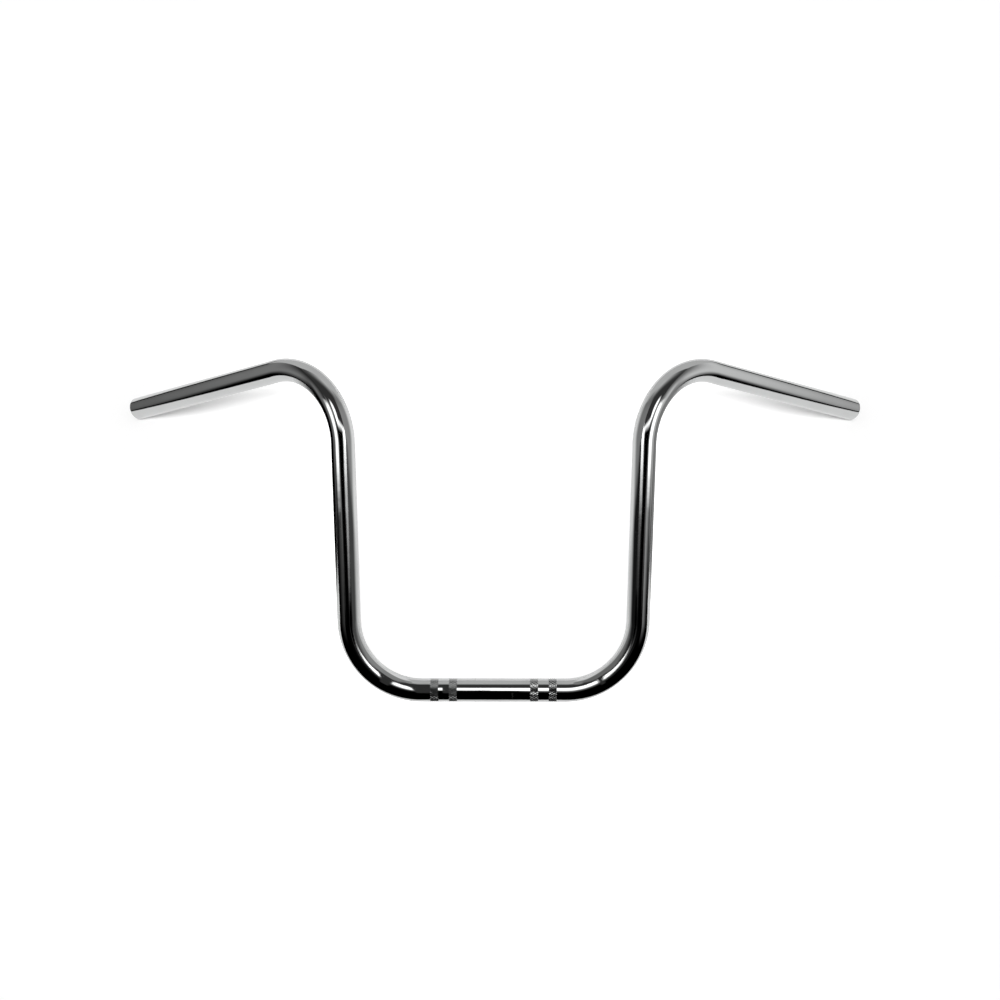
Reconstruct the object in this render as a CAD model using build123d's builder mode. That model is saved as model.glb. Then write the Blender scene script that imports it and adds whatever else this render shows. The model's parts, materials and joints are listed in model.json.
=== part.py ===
"""Ape hanger handlebar, one bent steel tube, lying on its clamp section and both grip ends.

Millimetres. X runs along the clamp section, Y away from it along the floor, Z up.
The origin is the middle of the clamp section, on the tube's axis.
"""
import os
from math import asin, atan2, cos, hypot, pi, radians, sin, sqrt, tan

from build123d import *

# Tube
tube_diameter = 25.4
wall = 2.0
bend_radius = 78.0

# Straight runs between the bends
clamp_length = 154.0
upright_length = 190.0
grip_length = 230.0

# Angles in degrees: the uprights lean outwards, the grips point back and down from square to them
flare_angle = 1.3
pullback_angle = 35.0
droop_angle = 12.0

# Knurled bands, a pair under each clamp, with their crests just below the tube's surface
clamp_spacing = 107.0
band_spacing = 20.0
band_width = 8.5
knurl_pitch = 2.2
knurl_helix_angle = 30.0
knurl_depth = 0.4
crest_recess = 0.05

# Broken edges of the open ends, held by the wall
end_rounding = min(0.9, 0.45 * wall)
bore_rounding = min(0.4, 0.25 * wall)

tube_radius = tube_diameter / 2
bore_radius = tube_radius - wall

# Directions of the right half in the plane of the uprights: x outwards, y up, z to the front
flare = radians(flare_angle)
pullback = radians(pullback_angle)
droop = radians(droop_angle)
clamp_direction = Vector(1, 0, 0)
upright_direction = Vector(sin(flare), cos(flare), 0)
grip_direction = Vector(cos(pullback) * cos(droop), -sin(droop), -sin(pullback) * cos(droop))

# Corners where the straight runs would meet without their bends
lower_setback = bend_radius * tan(radians(clamp_direction.get_angle(upright_direction)) / 2)
upper_setback = bend_radius * tan(radians(upright_direction.get_angle(grip_direction)) / 2)
lower_corner = clamp_direction * (clamp_length / 2 + lower_setback)
upper_corner = lower_corner + upright_direction * (lower_setback + upright_length + upper_setback)
grip_end = upper_corner + grip_direction * (upper_setback + grip_length)


def lying_angle():
    """Angle from the floor to the plane of the uprights, with the grip ends as low as the clamp section."""
    level = atan2(-grip_end.Z, grip_end.Y)
    angle = level
    for _ in range(20):
        fall = -grip_direction.Y * sin(angle) - grip_direction.Z * cos(angle)
        end_drop = (tube_radius - end_rounding) * sqrt(1 - fall**2) + end_rounding * (1 - fall)
        angle = level - asin((tube_radius - end_drop) / hypot(grip_end.Y, grip_end.Z))
    return angle


lying = lying_angle()
bar_plane = Plane(origin=(0, 0, 0), x_dir=(1, 0, 0), z_dir=(0, -sin(lying), cos(lying)))

# Diamond knurl: rings of points on which crests and roots take turns, half a diamond apart
knurl_count = round(pi * tube_diameter / knurl_pitch)
half_diamond = knurl_pitch / 2 / tan(radians(knurl_helix_angle))
knurl_steps = max(2, round(band_width / half_diamond))
crest_radius = tube_radius - crest_recess
root_radius = crest_radius - knurl_depth


def knurl_point(step, tooth):
    radius = crest_radius if (step + tooth) % 2 == 0 else root_radius
    angle = pi * tooth / knurl_count
    return Vector(band_width * (step / knurl_steps - 0.5), radius * cos(angle), radius * sin(angle))


def knurl_facets():
    """Flat facets that fall from each crest to the grooves round it, and a star face at each end."""
    teeth = range(2 * knurl_count)
    facets = []
    for step in range(knurl_steps):
        for tooth in teeth:
            root, crest = (tooth, tooth + 1) if (step + tooth) % 2 else (tooth + 1, tooth)
            groove = [knurl_point(step, root), knurl_point(step + 1, crest)]
            facets.append(Face(Wire.make_polygon([*groove, knurl_point(step, crest)])))
            facets.append(Face(Wire.make_polygon([*groove, knurl_point(step + 1, root)])))
    for step in (0, knurl_steps):
        facets.append(Face(Wire.make_polygon([knurl_point(step, tooth) for tooth in teeth])))
    return facets


with BuildPart() as knurl_band:
    add(Solid(Shell(knurl_facets())))

band_places = [((clamp_spacing + side * band_spacing) / 2, 0, 0) for side in (-1, 1)]

with BuildPart() as handlebar:
    # Right half of the tube
    with BuildLine(bar_plane) as bar_line:
        FilletPolyline((0, 0, 0), tuple(lower_corner), tuple(upper_corner), tuple(grip_end), radius=bend_radius)
    with BuildSketch(Plane.YZ):
        Circle(tube_radius)
    sweep(path=bar_line.line)

    # Knurled bands of the right clamp
    with Locations(*band_places):
        Cylinder(tube_diameter, band_width, rotation=(0, 90, 0), mode=Mode.SUBTRACT)
        add(knurl_band.part)

    # Bore and open end
    with BuildSketch(Plane.YZ):
        Circle(bore_radius)
    sweep(path=bar_line.line, mode=Mode.SUBTRACT)
    end_edges = handlebar.faces().sort_by(Axis.X)[-1].edges().sort_by(SortBy.LENGTH)
    fillet(end_edges[-1], end_rounding)
    fillet(end_edges[0], bore_rounding)

    # Left half
    mirror(about=Plane.YZ)

handlebar.part.label = "handlebar"

os.makedirs("parts", exist_ok=True)
export_step(handlebar.part, "parts/handlebar.step")
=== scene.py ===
"""Ape hanger handlebar: one bent and chromed steel tube with knurled clamp bands, on a white sheet."""
import json
from math import atan2, pi, radians, tan

import bmesh
import bpy
from bpy.props import FloatProperty, FloatVectorProperty, IntProperty, PointerProperty
from mathutils import Matrix, Vector


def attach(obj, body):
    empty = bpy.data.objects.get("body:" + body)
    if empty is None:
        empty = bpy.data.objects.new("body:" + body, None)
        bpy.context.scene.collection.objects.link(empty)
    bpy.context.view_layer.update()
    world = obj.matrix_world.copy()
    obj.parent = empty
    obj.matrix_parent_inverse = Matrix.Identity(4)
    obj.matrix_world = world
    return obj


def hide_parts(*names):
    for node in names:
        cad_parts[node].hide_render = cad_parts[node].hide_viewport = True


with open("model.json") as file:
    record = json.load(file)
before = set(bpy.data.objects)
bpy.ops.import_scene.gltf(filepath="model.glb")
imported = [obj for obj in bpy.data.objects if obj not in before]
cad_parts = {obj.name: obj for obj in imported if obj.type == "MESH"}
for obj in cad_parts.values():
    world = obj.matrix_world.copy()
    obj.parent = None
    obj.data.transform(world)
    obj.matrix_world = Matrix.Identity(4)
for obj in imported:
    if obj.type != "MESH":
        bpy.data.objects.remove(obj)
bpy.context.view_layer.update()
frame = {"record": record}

bl_info = {
    "name": "Ape hanger handlebar",
    "version": (1, 0, 0),
    "blender": (4, 5, 0),
    "location": "View3D > Sidebar > Handlebar",
    "description": "Models a chromed ape hanger handlebar on its CAD frame and sets its stage",
    "category": "Object",
}

# Sizes that the frame gives, in metres
mounts = {mount["name"]: mount for mount in frame["record"]["mounts"]}
clamp, grip, bore = mounts["clamp_section"], mounts["right_grip"], mounts["right_bar_end"]
tube_radius = clamp["dims"]["r_mm"] / 1000
bore_radius = bore["dims"]["r_mm"] / 1000
clamp_length = clamp["dims"]["length_mm"] / 1000
grip_length = grip["dims"]["length_mm"] / 1000
plate_colour = frame["record"]["materials"][0]["base_color"]
floor_level = -tube_radius

# Points nearer than this are one point
touching = 5e-6

# Rounds in which the bends' corners settle
settling_rounds = 40

# A face looks along a direction when its normal's product with it is over this
facing = 0.9

# Corners of the light booth
booth_low = Vector((-1.0, -1.6, floor_level))
booth_high = Vector((1.0, 1.18, 0.94))

# Corners of the boxes whose sides hold the smaller cards and flags
inner_box = (-0.02, -0.25, floor_level), (0.02, 0.55, 0.75)
lamp_flag_box = (-0.30, -0.30, 0.276), (0.30, 0.30, 0.296)
low_flag_box = (-0.15, -0.06, 0.06), (0.15, 0.06, 0.08)
bend_box = (-0.09, -0.02, floor_level), (0.09, 0.07, 0.11)
left_strip_box = (-0.235, 0.05, floor_level), (-0.215, 0.32, 0.2)
right_strip_box = (0.215, 0.05, floor_level), (0.235, 0.32, 0.2)
floor_flag_box = (*booth_low.xy, floor_level - 0.01), (*booth_high.xy, floor_level + 0.0003)


class HandlebarSizes(bpy.types.PropertyGroup):
    """Sizes of the tube that its mounts don't give."""

    bend_radius: FloatProperty(
        name="Bend radius", description="Radius of all four bends, at the tube's axis",
        default=0.078, unit="LENGTH")
    end_rounding: FloatProperty(
        name="End rounding", description="Rounding of the outer edge of each open end",
        default=0.0009, unit="LENGTH")
    bore_rounding: FloatProperty(
        name="Bore rounding", description="Rounding of the inner edge of each open end",
        default=0.0004, unit="LENGTH")
    clamp_spacing: FloatProperty(
        name="Clamp spacing", description="Distance between the middles of the two clamps",
        default=0.107, unit="LENGTH")
    band_spacing: FloatProperty(
        name="Band spacing", description="Distance between the two knurled bands of a clamp",
        default=0.020, unit="LENGTH")
    band_width: FloatProperty(
        name="Band width", description="Width of a knurled band",
        default=0.0085, unit="LENGTH")
    knurl_count: IntProperty(
        name="Knurl count", description="Diamonds round the tube in each band", default=36)
    knurl_steps: IntProperty(
        name="Knurl steps", description="Half diamonds across a band", default=4)
    knurl_depth: FloatProperty(
        name="Knurl depth", description="Height of the diamonds over their grooves",
        default=0.0004, unit="LENGTH")
    crest_recess: FloatProperty(
        name="Crest recess", description="How far the diamonds stay below the tube's surface",
        default=0.00005, unit="LENGTH")
    bend_step: FloatProperty(
        name="Bend step", description="Turn of one segment of a bend",
        default=radians(2), subtype="ANGLE")
    guard: FloatProperty(
        name="Guard loop", description="Short segment that keeps a straight run's shading straight",
        default=0.002, unit="LENGTH")
    rounding_segments: IntProperty(
        name="Rounding segments", description="Segments across a rounded edge", default=8)
    facet_angle: FloatProperty(
        name="Facet angle", description="Edges sharper than this stay crisp",
        default=radians(15), subtype="ANGLE")


class HandlebarFinish(bpy.types.PropertyGroup):
    """Looks of the plated outside and the bare bore."""

    plate: FloatVectorProperty(
        name="Plate", description="Colour of the chrome", subtype="COLOR", default=plate_colour)
    # Painted shade: this darker plate colour darkens the knurl's grooves, where shade falls; the clouds also
    # blend towards it as random tone.
    groove: FloatVectorProperty(
        name="Groove", description="Colour of the plate down in the knurl",
        subtype="COLOR", default=(0.30, 0.30, 0.30))
    steel: FloatVectorProperty(
        name="Steel", description="Colour of the bare steel in the bore",
        subtype="COLOR", default=(0.23, 0.22, 0.21))
    polish: FloatProperty(
        name="Polish", description="Roughness of the clean plate", default=0.035, subtype="FACTOR")
    haze: FloatProperty(
        name="Haze", description="Extra roughness where the plate is cloudy", default=0.05, subtype="FACTOR")
    knurl_haze: FloatProperty(
        name="Knurl haze", description="Extra roughness of the knurled bands", default=0.15, subtype="FACTOR")
    cloud_shade: FloatProperty(
        name="Cloud shade", description="How far the clouds take the groove's colour",
        default=0.12, subtype="FACTOR")
    # Painted shade: how far the knurl's grooves take the darker colour.
    painted_groove_shade: FloatProperty(
        name="Groove shade", description="How far the knurl takes the groove's colour",
        default=0.35, subtype="FACTOR")
    ripple: FloatProperty(
        name="Ripple", description="Height of the faint waves that polishing leaves",
        default=0.00012, unit="LENGTH")


class HandlebarStage(bpy.types.PropertyGroup):
    """Sheet, lights and camera."""

    sheet: FloatVectorProperty(
        name="Sheet", description="Colour of the floor", subtype="COLOR", default=(0.88, 0.88, 0.88))
    # Painted light: a stronger glow between the uprights that washes out the bar's shadow on the sheet there.
    shadow_wash_glow: FloatProperty(
        name="Middle lift", description="Glow that brings the sheet up to white between the uprights",
        default=0.7)
    edge_lift: FloatProperty(
        name="Edge lift", description="Glow that brings the sheet up to white at the grip ends", default=0.13)
    mirror_lift: FloatProperty(
        name="Mirror lift", description="Glow of the sheet as the chrome shows it", default=0.17)
    sun: FloatProperty(
        name="Overhead light", description="Strength of the soft light that throws the shadow", default=2.3)
    sun_spread: FloatProperty(
        name="Light spread", description="Width of the overhead light as seen from the floor",
        default=radians(14), subtype="ANGLE")
    sun_lean: FloatProperty(
        name="Light lean", description="How far the overhead light leans to the camera's side",
        default=radians(22), subtype="ANGLE")
    dome: FloatProperty(
        name="Dome", description="Strength of the even light from all round", default=0.32)
    elevation: FloatProperty(
        name="Elevation", description="Camera's angle above the floor", default=radians(65.35), subtype="ANGLE")
    azimuth: FloatProperty(
        name="Azimuth", description="Camera's turn round the bar", default=radians(0.384), subtype="ANGLE")
    roll: FloatProperty(
        name="Roll", description="Camera's turn about its own line of sight",
        default=radians(-0.277), subtype="ANGLE")
    distance: FloatProperty(
        name="Distance", description="Camera's distance from the clamp section", default=1.55, unit="LENGTH")
    aim: FloatVectorProperty(
        name="Aim", description="Middle of the picture, to the right of and above the clamp section",
        size=2, default=(0.00695, 0.20505), unit="LENGTH")
    lens: FloatProperty(name="Lens", description="Focal length in millimetres", default=51.72)
    sensor: FloatProperty(name="Sensor", description="Width of the sensor in millimetres", default=36)


class Socket:
    """A shader socket that Python arithmetic turns into Math nodes."""

    def __init__(self, nodes, link):
        self.nodes = nodes
        self.link = link

    def math(self, operation, *values):
        return self.nodes.add("ShaderNodeMath", {"operation": operation}, dict(enumerate(values)))

    def __add__(self, other):
        return self.math("ADD", self, other)

    def __sub__(self, other):
        return self.math("SUBTRACT", self, other)

    def __rsub__(self, other):
        return self.math("SUBTRACT", other, self)

    def __mul__(self, other):
        return self.math("MULTIPLY", self, other)

    def __pow__(self, other):
        return self.math("POWER", self, other)

    def __abs__(self):
        return self.math("ABSOLUTE", self)

    def __lt__(self, other):
        return self.math("LESS_THAN", self, other)

    __radd__ = __add__
    __rmul__ = __mul__


class Nodes:
    """The node tree of a material or of the world."""

    def __init__(self, owner):
        owner.use_nodes = True
        self.tree = owner.node_tree
        self.tree.nodes.clear()

    def add(self, kind, settings=None, inputs=None, output=0):
        """Adds a node, sets it up, fills its sockets with values or links, and gives one of its outputs."""
        node = self.tree.nodes.new(kind)
        for name, value in (settings or {}).items():
            setattr(node, name, value)
        for name, value in (inputs or {}).items():
            if isinstance(value, Socket):
                self.tree.links.new(value.link, node.inputs[name])
            else:
                node.inputs[name].default_value = value
        return Socket(self, node.outputs[output]) if len(node.outputs) else None

    def noise(self, place, scale, detail):
        return self.add("ShaderNodeTexNoise", {}, {"Vector": place, "Scale": scale, "Detail": detail})

    def between(self, value, low, high):
        """Rises smoothly from 0 at low to 1 at high."""
        return self.add("ShaderNodeMapRange", {"interpolation_type": "SMOOTHSTEP"},
                        {"Value": value, "From Min": low, "From Max": high})

    def span(self, value, first, last):
        """1 between two soft edges. Each is a pair: where it is clear, and where it is full."""
        return self.between(value, *first) * self.between(value, *last)

    def largest(self, *values):
        """Largest of two or more sockets' values."""
        result = values[0]
        for value in values[1:]:
            result = result.math("MAXIMUM", result, value)
        return result

    def blend(self, share, first, second):
        """Colour that goes from the first to the second."""
        return self.add("ShaderNodeMix", {"data_type": "RGBA"}, {0: share, 6: first, 7: second}, output=2)

    def place(self):
        """Object coordinates, and their three values."""
        coordinates = self.add("ShaderNodeTexCoord", output="Object")
        parts = [self.add("ShaderNodeSeparateXYZ", {}, {0: coordinates}, output=axis) for axis in range(3)]
        return coordinates, *parts


def colour(values):
    return (*values, 1.0)


def chrome_plate(finish, sizes):
    """Bright plate with faint clouds and polishing waves; rougher in the knurl, with painted shade down in its
    grooves.
    """
    cloud_scale, cloud_detail, cloud_edge = 26, 3, (0.35, 0.75)
    grain_scale, grain_detail = 900, 2
    wave_scale, fine_wave_scale, fine_wave_share, wave_detail = 34, 160, 0.15, 1
    crest, smooth = tube_radius - sizes.crest_recess, tube_radius - 4 * touching
    material = bpy.data.materials.new("chrome_plate")
    nodes = Nodes(material)
    place, x, y, z = nodes.place()
    from_axis, on_clamp = (y * y + z * z) ** 0.5, abs(x) < clamp_length / 2
    # Painted shade mask: 1 down in the knurl's grooves, 0 on the diamonds' crests.
    groove = nodes.between(from_axis, crest, crest - sizes.knurl_depth) * on_clamp
    knurl = nodes.between(from_axis, smooth, crest + touching) * on_clamp
    clouds = nodes.between(nodes.noise(place, cloud_scale, cloud_detail), *cloud_edge)
    grain = nodes.noise(place, grain_scale, grain_detail)
    shade = nodes.blend(finish.cloud_shade * clouds, colour(finish.plate), colour(finish.groove))
    waves = (nodes.noise(place, wave_scale, wave_detail)
             + fine_wave_share * nodes.noise(place, fine_wave_scale, wave_detail))
    nodes.add("ShaderNodeOutputMaterial", {}, {"Surface": nodes.add("ShaderNodeBsdfPrincipled", {}, {
        # Painted shade: the knurl's grooves blend towards the darker groove colour.
        "Base Color": nodes.blend(finish.painted_groove_shade * groove, shade, colour(finish.groove)),
        "Metallic": 1.0,
        "Roughness": finish.polish + finish.haze * clouds * grain + finish.knurl_haze * knurl,
        "Normal": nodes.add("ShaderNodeBump", {}, {"Height": waves, "Distance": finish.ripple}),
    })})
    return material


def bore_steel(finish):
    """Bare drawn steel, dull and blotched."""
    blotch_scale, blotch_detail, blotch_edge = 70, 4, (0.35, 0.7)
    dull_share, smoothest, roughening = 0.55, 0.38, 0.25
    material = bpy.data.materials.new("bore_steel")
    nodes = Nodes(material)
    blotches = nodes.noise(nodes.place()[0], blotch_scale, blotch_detail)
    dull = colour([dull_share * value for value in finish.steel])
    nodes.add("ShaderNodeOutputMaterial", {}, {"Surface": nodes.add("ShaderNodeBsdfPrincipled", {}, {
        "Base Color": nodes.blend(nodes.between(blotches, *blotch_edge), colour(finish.steel), dull),
        "Metallic": 0.85,
        "Roughness": smoothest + roughening * blotches,
    })})
    return material


def open_object(name):
    """Names the new primitive, puts its place into its mesh and opens it for editing."""
    thing = bpy.context.object
    thing.name = thing.data.name = name
    bpy.ops.object.transform_apply(location=True, rotation=True, scale=True)
    bpy.ops.object.mode_set(mode="EDIT")
    bpy.ops.mesh.select_mode(type="VERT")
    return thing


def select_vertices(wanted):
    """Selects the vertices that the test picks, with the edges and faces between them."""
    bpy.ops.mesh.select_mode(type="VERT")
    mesh = bpy.context.edit_object.data
    cage = bmesh.from_edit_mesh(mesh)
    for vertex in cage.verts:
        vertex.select_set(wanted(vertex))
    cage.select_flush_mode()
    bmesh.update_edit_mesh(mesh)


def select_faces(wanted):
    """Selects the faces that the test picks."""
    bpy.ops.mesh.select_mode(type="FACE")
    mesh = bpy.context.edit_object.data
    cage = bmesh.from_edit_mesh(mesh)
    for face in cage.faces:
        face.select_set(wanted(face))
    bmesh.update_edit_mesh(mesh)


def count_faces():
    return len(bmesh.from_edit_mesh(bpy.context.edit_object.data).faces)


def extrude(offset=(0, 0, 0)):
    bpy.ops.mesh.extrude_region_move(TRANSFORM_OT_translate={"value": offset})


def run_straight(direction, length, guard):
    """Extrudes the ring along a straight run, with a short guard segment at each end."""
    for share in (guard, length - 2 * guard, guard):
        extrude(direction * share)


class Bend:
    """A bend of the tube's axis at the corner between two directions."""

    def __init__(self, corner, start, end, radius):
        self.angle = start.angle(end)
        self.axis = start.cross(end).normalized()
        self.centre = corner - start * bend_setback(start, end, radius) + self.axis.cross(start) * radius

    def spin(self, step, way=1):
        """Spins the ring through the bend, or back with way -1."""
        bpy.ops.mesh.spin(steps=round(self.angle / step), angle=-way * self.angle,
                          center=self.centre, axis=self.axis)


def bend_setback(start, end, radius):
    """Distance from a corner to where its bend begins."""
    return radius * tan(start.angle(end) / 2)


class BarAxis:
    """Axis of the right half: clamp section, lower bend, upright, upper bend and grip."""

    def __init__(self, radius):
        self.along = Vector(clamp["axis"])
        self.outwards = Vector(grip["axis"]).normalized()
        clamp_end = self.along * clamp_length / 2
        grip_start = Vector(grip["pos_m"]) - self.outwards * grip_length / 2
        lower, upper = clamp_end, grip_start
        for _ in range(settling_rounds):
            self.upwards = (upper - lower).normalized()
            lower = clamp_end + self.along * bend_setback(self.along, self.upwards, radius)
            upper = grip_start - self.outwards * bend_setback(self.upwards, self.outwards, radius)
        self.lower_bend = Bend(lower, self.along, self.upwards, radius)
        self.upper_bend = Bend(upper, self.upwards, self.outwards, radius)
        self.upright_length = ((upper - lower).length - bend_setback(self.along, self.upwards, radius)
                               - bend_setback(self.upwards, self.outwards, radius))
        self.grip_start = grip_start


class HANDLEBAR_OT_tube(bpy.types.Operator):
    """Models the plated tube, its knurled bands and its bore"""

    bl_idname = "handlebar.tube"
    bl_label = "Model tube"

    def set_teeth(self, sizes, at, step, factors):
        """Scales the open ring's points by the first and the second factor in turns, and selects the ring."""
        def on_ring(vertex):
            return vertex.is_boundary and abs(vertex.co.x - at) < touching

        def tooth(vertex):
            return round(atan2(vertex.co.z, vertex.co.y) * sizes.knurl_count / pi)

        for turn, factor in enumerate(factors):
            select_vertices(lambda vertex: on_ring(vertex) and (tooth(vertex) + step) % 2 == turn)
            bpy.ops.transform.resize(value=(1, factor, factor), center_override=(at, 0, 0))
        select_vertices(on_ring)

    def knurl_band(self, sizes, middle):
        """Rings of a band, on which crests and grooves take turns."""
        crest = tube_radius - sizes.crest_recess
        radii = (crest, crest - sizes.knurl_depth)
        step_length = sizes.band_width / sizes.knurl_steps
        before = (tube_radius, tube_radius)
        for step in range(sizes.knurl_steps + 1):
            extrude((step_length if step else 0, 0, 0))
            at = middle - sizes.band_width / 2 + step * step_length
            self.set_teeth(sizes, at, step, [radius / old for radius, old in zip(radii, before)])
            before = radii[::-1]
        extrude()
        self.set_teeth(sizes, at, step, [tube_radius / radius for radius in radii])

    def execute(self, context):
        sizes, finish = context.scene.handlebar_sizes, context.scene.handlebar_finish
        axis = BarAxis(sizes.bend_radius)
        run = grip_length + sizes.end_rounding
        end = axis.grip_start + axis.outwards * run

        # Ring at the middle of the clamp section
        bpy.ops.object.select_all(action="DESELECT")
        bpy.ops.mesh.primitive_circle_add(
            vertices=2 * sizes.knurl_count, radius=tube_radius, rotation=(0, pi / 2, 0))
        tube = open_object("handlebar_tube")
        bpy.ops.mesh.select_all(action="SELECT")

        # Plated outside, from the clamp section to the end of the grip
        reached = 0
        for side in (-1, 1):
            middle = (sizes.clamp_spacing + side * sizes.band_spacing) / 2
            extrude((middle - sizes.band_width / 2 - reached, 0, 0))
            self.knurl_band(sizes, middle)
            reached = middle + sizes.band_width / 2
        run_straight(axis.along, clamp_length / 2 - reached, sizes.guard)
        axis.lower_bend.spin(sizes.bend_step)
        run_straight(axis.upwards, axis.upright_length, sizes.guard)
        axis.upper_bend.spin(sizes.bend_step)
        run_straight(axis.outwards, run, sizes.guard)

        # Open end and bore, back to the middle
        extrude()
        bpy.ops.transform.resize(value=[bore_radius / tube_radius] * 3, center_override=end)
        plated = count_faces()
        run_straight(-axis.outwards, run, sizes.guard)
        axis.upper_bend.spin(sizes.bend_step, way=-1)
        run_straight(-axis.upwards, axis.upright_length, sizes.guard)
        axis.lower_bend.spin(sizes.bend_step, way=-1)
        run_straight(-axis.along, clamp_length / 2, sizes.guard)

        # Materials
        bpy.ops.object.material_slot_add()
        bpy.ops.object.material_slot_add()
        tube.material_slots[0].material = chrome_plate(finish, sizes)
        tube.material_slots[1].material = bore_steel(finish)
        select_faces(lambda face: face.index >= plated)
        tube.active_material_index = 1
        bpy.ops.object.material_slot_assign()

        # Facets of the diamonds, split along their grooves
        select_vertices(lambda vertex: abs(vertex.co.x) < clamp_length / 2 and
                        bore_radius + touching < vertex.co.yz.length < tube_radius - touching)
        bpy.ops.mesh.quads_convert_to_tris(quad_method="SHORTEST_DIAGONAL")

        # Rounded edges of the open end
        for radius, rounding in ((tube_radius, sizes.end_rounding), (bore_radius, sizes.bore_rounding)):
            select_vertices(lambda vertex: abs((vertex.co - end).dot(axis.outwards)) < touching and
                            abs((vertex.co - end).length - radius) < touching)
            bpy.ops.mesh.bevel(offset=rounding, segments=sizes.rounding_segments, affect="EDGES")

        # Left half
        bpy.ops.object.mode_set(mode="OBJECT")
        bpy.ops.object.modifier_add(type="MIRROR")
        mirror = tube.modifiers[-1]
        mirror.use_clip = True
        mirror.merge_threshold = touching
        bpy.ops.object.modifier_apply(modifier=mirror.name)
        bpy.ops.object.mode_set(mode="EDIT")
        bpy.ops.mesh.select_all(action="SELECT")
        bpy.ops.mesh.remove_doubles(threshold=touching)
        bpy.ops.mesh.normals_make_consistent(inside=False)
        bpy.ops.mesh.select_mode(type="VERT")
        bpy.ops.mesh.select_all(action="DESELECT")
        bpy.ops.mesh.select_non_manifold()
        bpy.ops.object.mode_set(mode="OBJECT")
        if any(vertex.select for vertex in tube.data.vertices):
            raise RuntimeError("the tube's skin isn't closed")
        bpy.ops.object.shade_smooth_by_angle(angle=sizes.facet_angle)

        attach(tube, "root")
        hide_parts("handlebar")
        return {"FINISHED"}


def glowing_card(name, glow, shape=None):
    """Material of a card that only reflections see. Its glow may vary over x, y and z, as its shape does."""
    material = bpy.data.materials.new(name)
    nodes = Nodes(material)
    place = nodes.place()[1:]
    light = glow(nodes, *place) if callable(glow) else colour([glow] * 3)
    surface = nodes.add("ShaderNodeEmission", {}, {"Color": light})
    if shape:
        behind = nodes.add("ShaderNodeNewGeometry", output="Backfacing")
        clear = nodes.add("ShaderNodeBsdfTransparent")
        surface = nodes.add("ShaderNodeMixShader", {}, {
            0: shape(nodes, *place) * (1 - behind), 1: clear, 2: surface})
    nodes.add("ShaderNodeOutputMaterial", {}, {"Surface": surface})
    return material


def seen_rays(nodes):
    """1 for the rays that show the white surroundings: from the camera, and off or through a surface."""
    names = ("Is Camera Ray", "Is Glossy Ray", "Is Transmission Ray")
    return nodes.largest(*(nodes.add("ShaderNodeLightPath", output=name) for name in names))


# Glow and outlines of the booth's lamps, cards and flags. Their edges are soft, and each edge is
# a pair: the place where it is clear, and the place where it is full.
halves = (-0.01, 0.01)


def booth_ceiling(nodes, x, y, z):
    """Wide lamp over the clamp section, a round lamp over each grip, and light at the sides and the back."""
    out = abs(x)

    # Wide lamp, and its front that fades towards the camera and is dimmer on the left
    wide_glow, wide_side, wide_front, wide_back = 2.6, (0.564, 0.474), (-0.57, -0.24), (0.10, -0.03)
    dim_glow, right_extra, dim_front = 0.27, 0.68, (-0.923, -0.38)
    dim_inside, dim_outside = (-0.01, 0.215), (0.812, 0.30)
    wide = wide_glow * nodes.between(out, *wide_side) * nodes.between(y, *wide_front)
    fading = nodes.between(y, *dim_front)
    dim = (dim_glow + right_extra * nodes.between(x, *halves)) * nodes.span(out, dim_inside, dim_outside)
    lamps = nodes.largest(wide, dim * fading * fading) * nodes.between(y, *wide_back)

    # Round lamps
    round_glow, round_edge, left_lamp, right_lamp = 2.2, (0.19, 0.11), (-0.417, 0.119), (0.514, 0.145)
    for lamp_x, lamp_y in (left_lamp, right_lamp):
        away = ((x - lamp_x) * (x - lamp_x) + (y - lamp_y) * (y - lamp_y)) ** 0.5
        lamps = lamps + round_glow * nodes.between(away, *round_edge)

    # Light at the sides and at the back, and a trace of it over the whole back half
    side_glow, side_inside, side_front, side_back = 1.7, (0.47, 1.6), (-0.87, -0.20), (0.23, 0.036)
    back_glow, back_front, back_fade, back_side = 0.70, (0.53, 1.07), 0.93, (0.0, 0.91)
    trace_glow, trace_front = 0.05, (-0.1, 0.15)
    sides = side_glow * nodes.between(out, *side_inside) * nodes.span(y, side_front, side_back)
    back = back_glow * nodes.between(y, *back_front) * (1 - back_fade * nodes.between(out, *back_side))
    return lamps + sides + back + trace_glow * nodes.between(y, *trace_front)


def booth_wall(brightness, front, top_fade, tail_glow):
    """Side wall, dark towards the camera, with an upright lamp whose front edge slants away from the bar."""
    edge_offset, edge_slant, edge_level = 0.047, 0.686, 0.3
    lamp_glow, lamp_back, lamp_front, lamp_foot = 2.2, (0.123, 0.063), (-0.08, 0.08), (0.244, 0.532)
    wall_foot, wall_top = (-0.39, 0.44), (0.2, 0.916)
    tail_front, tail_back, tail_foot = (-0.716, 0.0), (0.1, 0.0), (0.106, 0.769)

    def glow(nodes, x, y, z):
        edge = y + edge_offset + edge_slant * (z - edge_level)
        lamp = lamp_glow * nodes.between(y, *lamp_back) * nodes.between(edge, *lamp_front)
        lamp = lamp * nodes.between(z, *lamp_foot)
        wall = brightness * nodes.between(y, *front) * nodes.between(z, *wall_foot)
        wall = wall * (1 - top_fade * nodes.between(z, *wall_top))
        tail = tail_glow * nodes.between(edge, *tail_front) * nodes.between(y, *tail_back)
        tail = tail * nodes.between(z, *tail_foot)
        return lamp + wall + tail
    return glow


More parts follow.
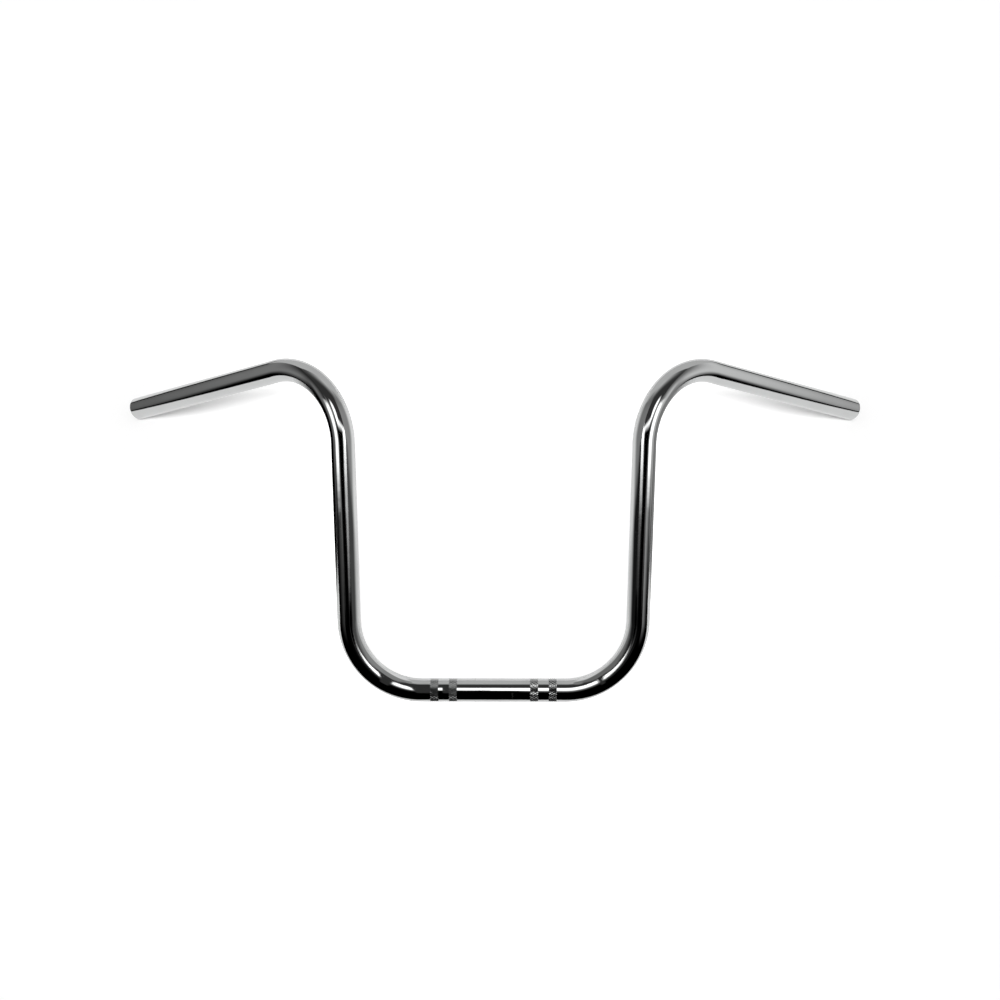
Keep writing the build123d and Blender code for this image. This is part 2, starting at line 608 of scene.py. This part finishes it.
def inner_glow(dimmest):
    """Glow of the low card between the uprights, lighter near the sheet and towards the grips."""
    foot_glow, foot_slope, foot_top = 0.775, 0.45, (0.078, -0.019)
    back_glow, back_front = 0.30, (0.116, 0.179)

    def glow(nodes, x, y, z):
        foot = foot_glow * nodes.between(z - foot_slope * y, *foot_top)
        return dimmest + foot + back_glow * nodes.between(y, *back_front)
    return glow


def inner_shape(nodes, x, y, z):
    """Outline of the low card: its top slopes up towards the grips."""
    front, back, top, slope = (-0.124, -0.064), (0.52, 0.28), (0.239, 0.189), 0.91
    return nodes.span(y, front, back) * nodes.between(z - slope * y, *top)


def lamp_flags(nodes, x, y, z):
    """Outline of the black flags under the wide lamp: over the uprights, and before the clamp section."""
    inside, outside, front, back = (0.104, 0.144), (0.28, 0.24), (-0.20, -0.16), (0.215, 0.175)
    before_left, before_right, before_back = (-0.083, -0.079), (0.05, 0.02), (-0.085, -0.13)
    sides = nodes.span(abs(x), inside, outside) * nodes.span(y, front, back)
    before = nodes.span(x, before_left, before_right) * nodes.between(y, *before_back)
    return nodes.largest(sides, before)


def low_glow(nodes, x, y, z):
    """Glow of the low flags: dark, apart from the light card over the middle of the clamp section."""
    flag_glow, card_glow, card_left, card_right = 0.045, 2.6, (-0.008, -0.006), (0.056, 0.054)
    return flag_glow + card_glow * nodes.span(x, card_left, card_right)


def low_flags(nodes, x, y, z):
    """Outline of the low flags over the clamp section's left and the lower bends, and of the light card."""
    wide_left, wide_right = (-0.0885, -0.085), (-0.065, -0.067)
    narrow_left, narrow_right, clamp_back = (-0.058, -0.0555), (-0.0475, -0.0495), (0.04, 0.03)
    wide, narrow = nodes.span(x, wide_left, wide_right), nodes.span(x, narrow_left, narrow_right)
    clamp_flags = nodes.largest(wide, narrow) * nodes.between(y, *clamp_back)

    # Slanting flags over the bends, the right one narrower
    bend_inside, bend_outside, bend_back, slant = (0.094, 0.098), (0.1105, 0.1065), (0.03, 0.02), 0.48
    inside_cut, outside_cut = 0.0025, 0.0045
    across, right = abs(x) + slant * y, nodes.between(x, *halves)
    bend_flags = (nodes.between(across - inside_cut * right, *bend_inside)
                  * nodes.between(across + outside_cut * right, *bend_outside) * nodes.between(y, *bend_back))

    # Light card over the middle
    card_left, card_right = (-0.005, -0.003), (0.048, 0.046)
    card_front, card_back = (-0.026, -0.022), (-0.001, -0.004)
    card = nodes.span(x, card_left, card_right) * nodes.span(y, card_front, card_back)
    return nodes.largest(bend_flags, clamp_flags, card)


def bend_shape(reach):
    """Outline of the pale card beside a lower bend, under a line that slopes down towards the grips."""
    front, back, foot, softness = (0.012, 0.024), (0.055, 0.045), (0.024, 0.034), 0.012

    def shape(nodes, x, y, z):
        low = nodes.between(y + z, reach, reach - softness)
        return nodes.span(y, front, back) * nodes.between(z, *foot) * low
    return shape


def strip_shape(nodes, x, y, z):
    """Outline of the low strips beside the uprights: their tops slope up with them."""
    front, back, top, slope = (0.08, 0.13), (0.30, 0.27), (0.006, -0.008), 0.61
    return nodes.span(y, front, back) * nodes.between(z - slope * y, *top)


def floor_flags(nodes, x, y, z):
    """Outline of the black flags on the sheet: before the clamp section, and outside the grips."""
    back, set_back, set_back_side, outside = (-0.028, -0.040), 0.05, (0.06, 0.24), (0.53, 0.63)
    out = abs(x)
    before = nodes.between(y - set_back * nodes.between(out, *set_back_side), *back)
    return nodes.largest(before, nodes.between(out, *outside))


class HANDLEBAR_OT_stage(bpy.types.Operator):
    """Sets the sheet, the light booth, the lights and the camera"""

    bl_idname = "handlebar.stage"
    bl_label = "Set stage"

    def sheet(self, stage):
        """White sheet on which the bar lies, as wide as the booth."""
        low, high = booth_low.xy, booth_high.xy
        middle = (*(low + high) / 2, floor_level)
        bpy.ops.object.select_all(action="DESELECT")
        bpy.ops.mesh.primitive_plane_add(size=1, location=middle)
        sheet = open_object("white_sheet")
        bpy.ops.mesh.select_all(action="SELECT")
        bpy.ops.transform.resize(value=(*(high - low), 1), center_override=middle)
        bpy.ops.object.mode_set(mode="OBJECT")
        material = bpy.data.materials.new("white_sheet")
        nodes = Nodes(material)
        x = nodes.place()[1]
        # Painted light: the sheet glows more towards the middle, centred a little right of it, which washes out
        # the bar's shadow between the uprights and fades the grips' shadows towards the bends; only the grips'
        # ends keep their full shadow.
        middle_x, middle_side = 0.005, (0.42, 0.22)
        from_camera = nodes.add("ShaderNodeLightPath", output="Is Camera Ray")
        painted_shadow_wash = (stage.shadow_wash_glow - stage.edge_lift) * nodes.between(abs(x - middle_x), *middle_side)
        lift = stage.mirror_lift + from_camera * (stage.edge_lift + painted_shadow_wash - stage.mirror_lift)
        lit = nodes.add("ShaderNodeBsdfDiffuse", {}, {"Color": colour(stage.sheet)})
        glow = nodes.add("ShaderNodeEmission", {}, {"Color": lift})
        white = nodes.add("ShaderNodeAddShader", {}, {0: lit, 1: glow})
        nodes.add("ShaderNodeOutputMaterial", {}, {"Surface": nodes.add(
            "ShaderNodeMixShader", {}, {0: seen_rays(nodes), 1: lit, 2: white})})
        sheet.data.materials.append(material)

    def card_box(self, name, low, high):
        """Box between two corners, open for editing, of which only reflections see anything."""
        low, high = Vector(low), Vector(high)
        middle = (low + high) / 2
        bpy.ops.object.select_all(action="DESELECT")
        bpy.ops.mesh.primitive_cube_add(size=1, location=middle)
        box = open_object(name)
        bpy.ops.mesh.select_all(action="SELECT")
        bpy.ops.transform.resize(value=high - low, center_override=middle)
        box.visible_camera = False
        box.visible_diffuse = False
        box.visible_shadow = False
        return box

    def cards(self, name, low, high, materials):
        """Cards on the sides of a box, one for each direction with its material. The other sides stay open."""
        box = self.card_box(name, low, high)
        for index, (outwards, material) in enumerate(materials):
            bpy.ops.object.material_slot_add()
            box.material_slots[index].material = material
            select_faces(lambda face: face.normal.dot(Vector(outwards)) > facing)
            box.active_material_index = index
            bpy.ops.object.material_slot_assign()
        select_faces(lambda face: all(face.normal.dot(Vector(outwards)) < facing for outwards, _ in materials))
        bpy.ops.mesh.delete(type="ONLY_FACE")
        bpy.ops.object.mode_set(mode="OBJECT")

    def booth(self):
        """Light booth round the sheet with its cards and flags, seen only in the chrome."""
        left, right, up, down = (-1, 0, 0), (1, 0, 0), (0, 0, 1), (0, 0, -1)
        back, front = (0, 1, 0), (0, -1, 0)
        left_wall = booth_wall(brightness=0.33, front=(-0.086, 0.224), top_fade=0.90, tail_glow=0.10)
        right_wall = booth_wall(brightness=1.0, front=(-0.152, 0.191), top_fade=0.80, tail_glow=0.48)
        self.cards("light_booth", booth_low, booth_high, (
            (up, glowing_card("booth_ceiling", booth_ceiling)),
            (left, glowing_card("booth_left", left_wall)),
            (right, glowing_card("booth_right", right_wall)),
            (back, glowing_card("booth_back", glow=0.71)),
            (front, glowing_card("booth_front", glow=0.0))))
        self.cards("inner_cards", *inner_box, (
            (left, glowing_card("inner_left", inner_glow(dimmest=0.091), inner_shape)),
            (right, glowing_card("inner_right", inner_glow(dimmest=0.012), inner_shape))))
        self.cards("lamp_flags", *lamp_flag_box, (
            (down, glowing_card("lamp_flags", glow=0.0, shape=lamp_flags)),))
        self.cards("low_flags", *low_flag_box, (
            (down, glowing_card("low_flags", low_glow, low_flags)),))
        self.cards("bend_cards", *bend_box, (
            (left, glowing_card("left_bend", glow=0.37, shape=bend_shape(reach=0.104))),
            (right, glowing_card("right_bend", glow=0.23, shape=bend_shape(reach=0.103)))))
        self.cards("left_strip", *left_strip_box, (
            (right, glowing_card("left_strip", glow=0.0, shape=strip_shape)),))
        self.cards("right_strip", *right_strip_box, (
            (left, glowing_card("right_strip", glow=0.32, shape=strip_shape)),))
        self.cards("floor_flags", *floor_flag_box, (
            (up, glowing_card("floor_flags", glow=0.0, shape=floor_flags)),))

    def lights(self, context, stage):
        """Soft light from above, an even dome, and white surroundings."""
        bpy.ops.object.light_add(type="SUN", rotation=(stage.sun_lean, 0, 0))
        sun = context.object
        sun.name = "overhead_light"
        sun.data.energy = stage.sun
        sun.data.angle = stage.sun_spread
        sun.visible_glossy = False
        world = bpy.data.worlds.new("surroundings")
        context.scene.world = world
        nodes = Nodes(world)
        dome = nodes.add("ShaderNodeBackground", {}, {"Color": colour((1, 1, 1)), "Strength": stage.dome})
        white = nodes.add("ShaderNodeBackground", {}, {"Color": colour((1, 1, 1)), "Strength": 1.0})
        nodes.add("ShaderNodeOutputWorld", {}, {"Surface": nodes.add(
            "ShaderNodeMixShader", {}, {0: seen_rays(nodes), 1: dome, 2: white})})

    def camera(self, context, stage):
        """Camera high over the front of the bar, aimed past the clamp section."""
        turn = (Matrix.Rotation(stage.azimuth, 4, "Z")
                @ Matrix.Rotation(radians(90) - stage.elevation, 4, "X")
                @ Matrix.Rotation(stage.roll, 4, "Z"))
        place = turn @ Vector((*stage.aim, stage.distance))
        bpy.ops.object.camera_add(location=place, rotation=turn.to_euler())
        camera = context.object
        camera.name = "camera"
        camera.data.lens = stage.lens
        camera.data.sensor_width = stage.sensor
        context.scene.camera = camera

    def execute(self, context):
        stage = context.scene.handlebar_stage
        self.sheet(stage)
        self.booth()
        self.lights(context, stage)
        self.camera(context, stage)
        context.scene.view_settings.view_transform = "Standard"
        return {"FINISHED"}


class HANDLEBAR_PT_panel(bpy.types.Panel):
    """Sizes, finish and stage of the handlebar"""

    bl_idname = "HANDLEBAR_PT_panel"
    bl_label = "Handlebar"
    bl_space_type = "VIEW_3D"
    bl_region_type = "UI"
    bl_category = "Handlebar"

    def draw(self, context):
        scene = context.scene
        for group, operator in ((scene.handlebar_sizes, HANDLEBAR_OT_tube), (scene.handlebar_finish, None),
                                (scene.handlebar_stage, HANDLEBAR_OT_stage)):
            box = self.layout.box()
            for name in group.bl_rna.properties.keys():
                if name not in ("rna_type", "name"):
                    box.prop(group, name)
            if operator:
                box.operator(operator.bl_idname)


classes = (HandlebarSizes, HandlebarFinish, HandlebarStage,
           HANDLEBAR_OT_tube, HANDLEBAR_OT_stage, HANDLEBAR_PT_panel)


def register():
    for item in classes:
        bpy.utils.register_class(item)
    bpy.types.Scene.handlebar_sizes = PointerProperty(type=HandlebarSizes)
    bpy.types.Scene.handlebar_finish = PointerProperty(type=HandlebarFinish)
    bpy.types.Scene.handlebar_stage = PointerProperty(type=HandlebarStage)


def unregister():
    del bpy.types.Scene.handlebar_stage
    del bpy.types.Scene.handlebar_finish
    del bpy.types.Scene.handlebar_sizes
    for item in reversed(classes):
        bpy.utils.unregister_class(item)


def main():
    register()
    bpy.ops.handlebar.tube()
    bpy.ops.handlebar.stage()


if __name__ == "__main__":
    main()
